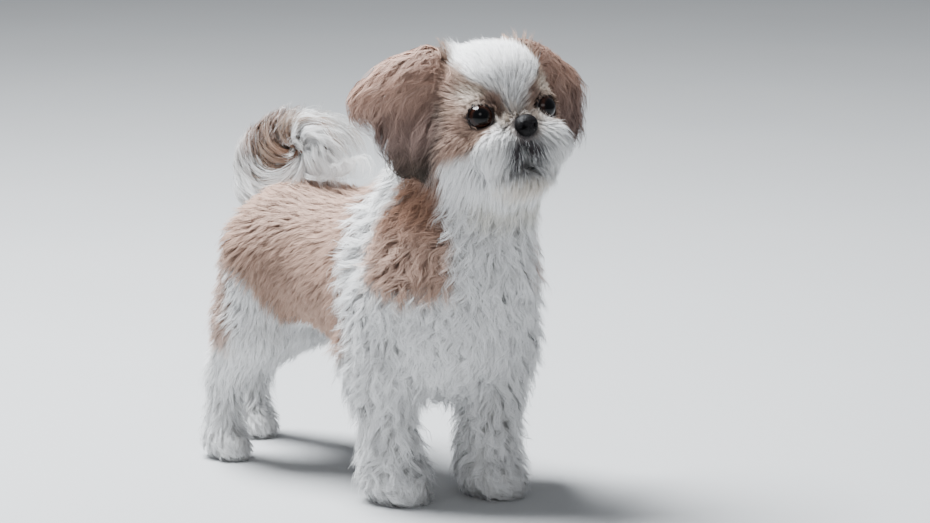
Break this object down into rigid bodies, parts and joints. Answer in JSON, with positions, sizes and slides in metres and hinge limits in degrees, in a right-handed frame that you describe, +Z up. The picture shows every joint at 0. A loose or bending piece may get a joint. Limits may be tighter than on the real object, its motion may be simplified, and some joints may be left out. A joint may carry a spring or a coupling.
{
  "type": "shih tzu",
  "caption": "Life-size still model of a clipped shih tzu standing with its head turned and its tail curled over its back; pale wavy coat with tan saddle and dark ears.",
  "frame": {"origin": "middle of the bounding box's footprint, on the ground under the paws", "axes": "+X the way the chest faces, +Y the dog's left, +Z up"},
  "size_m": [0.4474, 0.214, 0.4041],
  "materials": {
    "coat_white": "matt, fluffy coat",
    "coat_tan": "matt, fluffy coat",
    "coat_brown": "matt, silky coat",
    "eye": "wet gloss",
    "nose_leather": "damp, pebbled"
  },
  "bodies": {
    "root": {"head": "coat_white", "neck": "coat_white", "trunk": "coat_tan", "foreleg_right": "coat_white", "foreleg_left": "coat_white", "hindleg_right": "coat_white", "hindleg_left": "coat_white", "forepaw_right": "coat_white", "forepaw_left": "coat_white", "hindpaw_right": "coat_white", "hindpaw_left": "coat_white", "ear_right": "coat_brown", "ear_left": "coat_brown", "tail": "coat_white", "eye_right": "eye", "eye_left": "eye", "nose": "nose_leather"}
  },
  "joints": []
}
